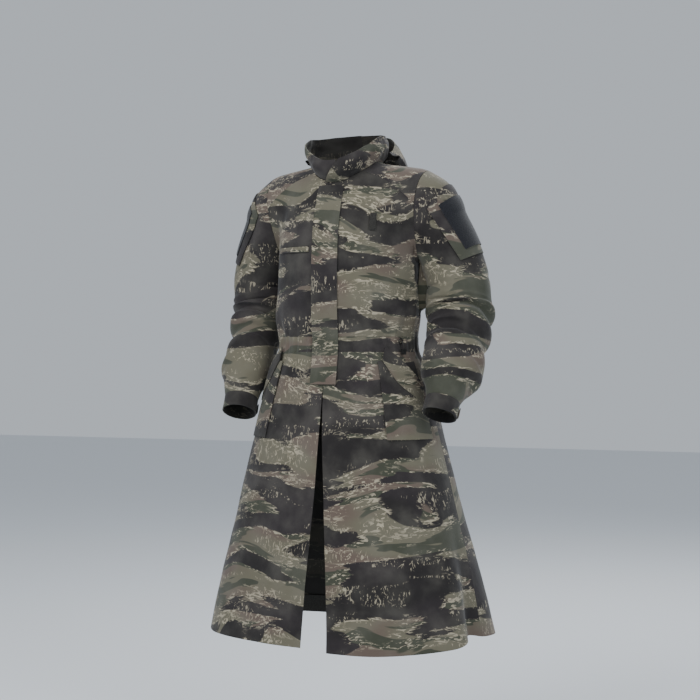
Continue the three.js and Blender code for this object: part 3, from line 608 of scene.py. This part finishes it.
# A piece whose underside rests just over the grid; its middle puffs up a little
def laidOn(name, grid, thickness, lift, slot="camouflage"):
    normals = gridNormals(grid)
    v = along(grid.shape[0] - 1)[:, None]
    u = along(grid.shape[1] - 1)[None]
    puff = puffHeight * (np.sin(np.pi * u) * np.sin(np.pi * v)) ** 0.5
    outer = grid + normals * (lift + thickness + puff)[..., None]
    piece = wallPiece(name + "_cloth", outer, grid + normals * lift, [slot, slot])
    declare(piece, name, outer)


def outward(grid, side):
    return grid if side > 0 else grid[:, ::-1]


def trimmed(grid, by=seamGap / 2):
    out = grid.copy()
    out[:, 0] += unit(grid[:, 1] - grid[:, 0]) * by
    out[:, -1] += unit(grid[:, -2] - grid[:, -1]) * by
    out[0] += unit(grid[1] - grid[0]) * by
    out[-1] += unit(grid[-2] - grid[-1]) * by
    return out


sides = (("left", 1), ("right", -1))
seamRows, neckRows, flankRows, yokeRows, backNeckRows = (n * finer for n in (5, 3, 6, 8, 4))
frontSeamBow, backSeamBow = (0, -0.008, 0.016), (0, 0.006, 0.006)
yokeCreasing = 0.5


# The edge of a front or the back: the side seam, then the armhole from its lowest point
def flankLine(side, lowest, corner):
    hole = armholePoint(side, along(flankRows, lowest, corner))
    return np.concatenate([sideSeam(side, flankRows), hole[1:]])


backSeams = {}
for sideName, side in sides:
    corner, backCorner = armholePoint(side, armhole["front"]), armholePoint(side, armhole["back"])
    frontSeam = seamLine(neckPoint(side * yokeFront), corner, seamRows, frontSeamBow)
    backSeam = seamLine(neckPoint(side * yokeBack), backCorner, seamRows, backSeamBow)
    top = np.concatenate([neckPoint(side * along(neckRows, 0, yokeFront)), frontSeam[1:]])
    flank = flankLine(side, 180, armhole["front"])
    bottom = bodyPoint(side * along(len(top) - 1, 0, 90), waistTopZ)
    middle = onto(bodyCloth, bodyPoint(0, along(len(flank) - 1, waistTopZ, top[0, 2])))
    middle[-1] = top[0]
    front = coonsGrid(bottom, top, middle, flank, bodyCloth)
    sewn("front_" + sideName, creased(trimmed(outward(front, side))), shellCloth)

    shoulder = armholePoint(side, along(yokeRows, armhole["front"], armhole["back"]))
    neckSide = neckPoint(side * along(yokeRows, yokeFront, yokeBack))
    yoke = coonsGrid(frontSeam, backSeam, neckSide, shoulder, coatField)
    sewn("yoke_" + sideName, creased(trimmed(outward(yoke, side)), yokeCreasing), shellCloth)
    backSeams[side] = backSeam

backNeck = neckPoint(along(backNeckRows, yokeBack, 360 - yokeBack))
top = np.concatenate([backSeams[1][::-1], backNeck[1:-1], backSeams[-1]])
bottom = bodyPoint(along(len(top) - 1, 90, 270), waistTopZ)
flanks = [flankLine(side, -180, armhole["back"]) for side in (1, -1)]
back = coonsGrid(bottom, top, *flanks, bodyCloth)
sewn("back", creased(trimmed(back)), shellCloth)
print("fronts, yokes and back")


def bodyGrid(angles, heights, lift=0.0):
    turn = (angles + 180) % 360 - 180
    share = np.clip((waistSeamZ - heights) / (waistSeamZ - hemZ), 0, 1)
    rise = tableAt(hemLine, turn)[..., 0] * share[:, None] ** 3
    return bodyPoint(angles, heights[:, None] + rise, lift)


slitRise = 0.06


# Angles of a skirt panel, whose front edge swings away from the centre front
def opened(first, last, count, heights, side=0):
    swing = openingTurn.get(side, 0) * smoothStep(flyBottomZ + slitRise, hemZ, heights)[:, None]
    t = along(count)[None]
    if side > 0:
        return swing + (last - swing) * t
    if side < 0:
        return first + (-swing - first) * t
    return np.broadcast_to(first + (last - first) * t, (len(heights), count + 1))


band = along(6, waistSeamZ, waistTopZ)
waistbands = (("waistband_front_left", 0, 90, 80), ("waistband_front_right", -90, 0, 80),
              ("waistband_back", 90, 270, 160))
for name, first, last, count in waistbands:
    grid = trimmed(bodyGrid(opened(first, last, count, band), band))
    sewn(name, creased(grid), shellCloth)

heights = hemZ + (waistSeamZ - hemZ) * along(90) ** 0.9
skirts = (("skirt_front_left", 0, 90, 60, 1), ("skirt_front_right", -90, 0, 60, -1),
          ("skirt_back_left", 90, 180, 60, 0), ("skirt_back_right", 180, 270, 60, 0))
for name, first, last, count, side in skirts:
    grid = trimmed(bodyGrid(opened(first, last, count, heights, side), heights))
    sewn(name, creased(grid), shellCloth)

facingWidth, facingThickness, facingGap = 0.05, 0.001, 0.003
facingHeights = along(4, hemZ + 0.001, hemZ + facingWidth)
facing = bodyGrid(opened(99, 261, 60, facingHeights), facingHeights, -shellCloth - facingGap)
sewn("hem_facing_back", facing, facingThickness, "dark_cloth")
print("skirt")

# Above this place along it, the sleeve blends from the armhole into rings round the arm
ringStart = 0.44
# Least gap from the body cloth low down and at the armpit, and the heights between them
clearance = {"low": 0.0032, "high": 0.011, "from": -0.315, "to": -0.262}


def besideBody(p):
    near = smoothStep(clearance["from"], clearance["to"], p[..., 2])
    inside = clearance["low"] + (clearance["high"] - clearance["low"]) * near - bodyField(p)
    push = np.where((p[..., 2] > blendBottom) | (inside < 0), 0, inside)
    return p + unit(slopeOf(bodyField, p)) * push[..., None]


def sleeveSurface(side, at, angle):
    at, angle = np.broadcast_arrays(np.asarray(at, float), np.asarray(angle, float))
    share = np.clip(at / ringStart, 0, 1)[..., None]
    start = armholePoint(side, angle)
    ring = ringPoint(side, np.maximum(at, ringStart), angle)
    guess = start * (1 - share) + ringPoint(side, ringStart, angle) * share
    blended = onto(sleeveCloth, guess)
    p = np.where(share >= 1, besideBody(ring), besideBody(blended))
    return np.where(share <= 0, start, p)


def cuffPoint(side, down, angle, lift=0.0):
    down, angle = np.broadcast_arrays(np.asarray(down, float), np.asarray(angle, float))
    downArm, outer, front = armFrame(side, 1.0)
    radius = (cuffSeam + (cuffEdge - cuffSeam) * down / cuffLength + lift)[..., None]
    a = np.radians(angle)[..., None]
    return (armAt(side, 1.0)[0] + downArm * down[..., None]
            + outer * radius * np.cos(a) + front * radius * np.sin(a))


# A patch of the sleeve between two places along it and two angles round it
def sleevePatch(side, rows, places, columns, turns):
    at, angle = along(rows, *places)[:, None], along(columns, *turns)[None]
    return outward(sleeveSurface(side, at, angle), side)


cuffGap, nearBody = 0.0015, 0.012
pocketLift, pileLift, pileThickness = 0.0022, 0.0056, 0.0018
ats = np.concatenate([along(30, 0.0, ringStart), along(90, ringStart, 1.0)[1:]])[::-1]
for sideName, side in sides:
    around = -side * np.linspace(-180, 180, 121)[:-1]
    atGrid, angleGrid = np.meshgrid(ats, around, indexing="ij")
    grid = sleeveSurface(side, atGrid, angleGrid)
    grid[0] += unit(grid[1] - grid[0]) * seamGap / 2
    grid[-1] += unit(grid[-2] - grid[-1]) * cuffGap
    height = foldAt(angleGrid, atGrid, sleeveCreases)
    height += rumple(grid, 16, 0.0028)
    height += rumple(grid, 42, 0.001)
    height *= smoothStep(0.02, 0.2, atGrid) * smoothStep(1.0, 0.97, atGrid)
    height = np.where(bodyField(grid) < nearBody, np.minimum(height, 0), height)
    sleeve = grid + gridNormals(grid, True) * height[..., None]
    sewn("sleeve_" + sideName, sleeve, shellCloth, closed=True)

    downGrid, turnGrid = np.meshgrid(along(8, cuffLength, seamGap), around, indexing="ij")
    cuff = cuffPoint(side, downGrid, turnGrid)
    cuff += gridNormals(cuff, True) * rumple(cuff, 60, 0.0008)[..., None]
    sewn("cuff_" + sideName, cuff, doubleCloth, closed=True)
    tab = cuffPoint(side, along(6, 0.034, 0.010)[:, None], along(24, -150, -20)[None], 0.0006)
    laidOn("cuff_tab_" + sideName, outward(tab, -side), doubleCloth, restGap)

    pocket = sleevePatch(side, 24, (0.43, 0.11), 20, (54, -36))
    laidOn("sleeve_pocket_" + sideName, pocket, shellCloth, pocketLift)
    pile = sleevePatch(side, 18, (0.39, 0.15), 16, (36, -36))
    laidOn("sleeve_loop_panel_" + sideName, pile, pileThickness, pileLift, "loop_pile")
print("sleeves")


def frontAt(x, z):
    side = tableAt(bodySections, z)[..., 0]
    return bodyPoint(np.degrees(np.arcsin(np.clip(x / side, -1, 1))), z)


# A patch of the front between two widths across it and two heights
def frontPatch(columns, widths, rows, levels):
    x, z = np.meshgrid(along(columns, *widths), along(rows, *levels))
    return onto(bodyCloth, frontAt(x, z))


trimLift, patchLift, flapLift = 0.0016, 0.0024, 0.0056
fly = frontPatch(12, (-flyHalfWidth, flyHalfWidth), 100, (flyBottomZ, flyTopZ))
laidOn("front_fly", fly, doubleCloth, patchLift)

# The flap's long edges: share along it, angle round the body, height
flapTop = np.array([[0, 50, -0.482], [0.5, 66, -0.532], [1, 82, -0.586]])
flapBottom = np.array([[0, 44, -0.52], [0.5, 55, -0.58], [1, 74, -0.628]])
for sideName, side in sides:
    turns, zs = np.meshgrid(side * along(24, 40, 78), along(30, -0.722, -0.52))
    laidOn("hip_pocket_" + sideName, outward(bodyPoint(turns, zs), side), shellCloth, patchLift)
    u, v = along(24)[None], along(10)[:, None, None]
    mixed = tableAt(flapBottom, u) * (1 - v) + tableAt(flapTop, u) * v
    flap = outward(bodyPoint(side * mixed[..., 0], mixed[..., 1]), side)
    laidOn("hip_flap_" + sideName, flap, doubleCloth, flapLift)

welt = frontPatch(30, (-0.042, -0.15), 4, (-0.233, -0.219))
laidOn("chest_welt_right", outward(welt, -1), doubleCloth, trimLift)
tab = frontPatch(4, (0.108, 0.123), 12, (-0.178, -0.134))
laidOn("chest_tab_left", tab, doubleCloth, trimLift, "dark_cloth")
print("pockets")

collar = {"foot": 0.0017, "front": 0.052, "back": 0.08, "lean": -0.012, "over": 0.0055}
# The collar's outline: share of its height, distance outwards from its foot
collarProfile = np.array([[0, 0], [0.3, 0.013], [0.62, 0.019], [1, 0.014]])


def collarGrid(first, last, count, turn):
    rise, t = along(24)[:, None], along(count)[None]
    start = first + turn * rise * (1 - t)
    angle = start + (last - start) * t
    foot = neckPoint(angle)
    away = unit(foot * np.array([1, 1, 0]))
    towardsBack = (1 - np.cos(np.radians(angle))) / 2
    height = collar["front"] + (collar["back"] - collar["front"]) * towardsBack
    p = foot + away * tableAt(collarProfile, rise + 0 * t)[..., :1]
    p[..., 2] += collar["foot"] + height * rise
    p[..., 1] += collar["lean"] * rise
    return p


def collarFolds(grid, seed):
    soft = rumple(grid * np.array([1, 1, 2.2]) + seed, 22, 0.006) + rumple(grid + seed, 50, 0.002)
    fade = smoothStep(0, 0.25, along(grid.shape[0] - 1))[:, None]
    return grid + gridNormals(grid) * (soft * fade)[..., None]


sewn("collar_right", collarFolds(collarGrid(-179.8, 10, 90, 0), 5), doubleCloth)
over = collarGrid(-14, 179.8, 90, 30)
past = smoothStep(60, 25, along(90) * 192)[None, :, None]
sewn("collar_left", collarFolds(over + gridNormals(over) * collar["over"] * past, 9), doubleCloth)

# The hood's section: row, distance outwards from the neckline, height, gap from the coat
hoodLine = np.array([
    [0, 0.02, -0.004, 0.0022], [1, 0.036, -0.042, 0.008], [2, 0.056, -0.084, 0.01],
    [3, 0.07, -0.116, 0.01], [4, 0.092, -0.132, 0.014], [5, 0.114, -0.1, 0.022],
    [6, 0.119, -0.044, 0.026], [7, 0.104, 0.011, 0.026], [8, 0.08, 0.056, 0.026],
    [9, 0.058, 0.08, 0.026],
])
# The hood starts and ends at hoodFrom, at a share of the size that it has behind hoodFull
hoodFrom, hoodFull, hoodEnds = 98, 162, 0.36
hoodSettling, hoodGap, deepestFold = 5, 0.0012, 0.0004
row = tableAt(hoodLine, along(54, 0, len(hoodLine) - 1))[:, None]
angles = along(80, hoodFrom, 360 - hoodFrom)
grown = smoothStep(hoodFrom, hoodFull, 180 - np.abs(180 - angles))
share = (hoodEnds + (1 - hoodEnds) * grown)[None, :, None]
foot = neckPoint(angles)[None]
hood = foot + unit(foot * np.array([1, 1, 0])) * row[..., :1] * share
hood[..., 2] += (row[..., 1:2] * share)[..., 0]
for _ in range(hoodSettling):
    inside = np.maximum(row[..., 2] + hoodGap - coatField(hood), 0)
    hood = hood + unit(slopeOf(coatField, hood)) * inside[..., None]
hood = hood[::-1]
soft = rumple(hood + 2, 14, 0.009) + rumple(hood, 34, 0.003)
hood = hood + gridNormals(hood) * np.maximum(soft * 0.6, -deepestFold)[..., None]
sewn("hood", hood, -shellCloth)
print("collar and hood")

# The CAD's own nodes that stay visible
for name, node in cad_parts.items():
    if name.startswith(("waist_eyelet", "cord_lock", "drawcord")):
        kind = "dark_cloth" if name.startswith("drawcord") else "hardware"
        node.data.materials.clear()
        node.data.materials.append(materials[kind])

floorZ, floorHalf = -1.62, 14
bm = bmesh.new()
bmesh.ops.create_grid(bm, x_segments=1, y_segments=1, size=floorHalf)
floorMesh = bpy.data.meshes.new("floor")
bm.to_mesh(floorMesh)
bm.free()
floor = bpy.data.objects.new("floor", floorMesh)
floor.location = (0, 0, floorZ)
pale = bpy.data.materials.new("pale_floor")
pale.use_nodes = True
paleInputs = pale.node_tree.nodes["Principled BSDF"].inputs
paleInputs["Base Color"].default_value = colours["floor"]
paleInputs["Roughness"].default_value = 0.9
floorMesh.materials.append(pale)
bpy.context.scene.collection.objects.link(floor)

distance, sideways, eyeZ = 4.4, 0.0035, -0.49
turn = math.radians(24)
towards = Vector((math.sin(turn), -math.cos(turn), 0))
across = Vector((math.cos(turn), math.sin(turn), 0))
camera = bpy.data.objects.new("camera", bpy.data.cameras.new("camera"))
camera.data.lens = 84
camera.data.sensor_width = 36
camera.location = towards * distance + across * sideways + Vector((0, 0, eyeZ))
camera.rotation_euler = (math.radians(90), 0, turn)
bpy.context.scene.collection.objects.link(camera)
bpy.context.scene.camera = camera


lightAim = Vector((0, 0, -0.6))


def areaLight(name, place, size, power, colour=(1, 1, 1)):
    light = bpy.data.objects.new(name, bpy.data.lights.new(name, "AREA"))
    light.data.size = size
    light.data.energy = power
    light.data.color = colour
    light.location = place
    light.rotation_euler = (lightAim - light.location).to_track_quat("-Z", "Y").to_euler()
    bpy.context.scene.collection.objects.link(light)


areaLight("key", (-1.2, -3.6, 2.4), 2.4, 150)
areaLight("fill", (3.4, -2.2, 1.2), 2.6, 80, (0.95, 0.98, 1))
areaLight("back", (0.5, 3.2, 2.6), 2.4, 120)
world = bpy.data.worlds.new("studio")
world.use_nodes = True
background = world.node_tree.nodes["Background"].inputs
background["Color"].default_value = colours["world"]
background["Strength"].default_value = 0.75
bpy.context.scene.world = world
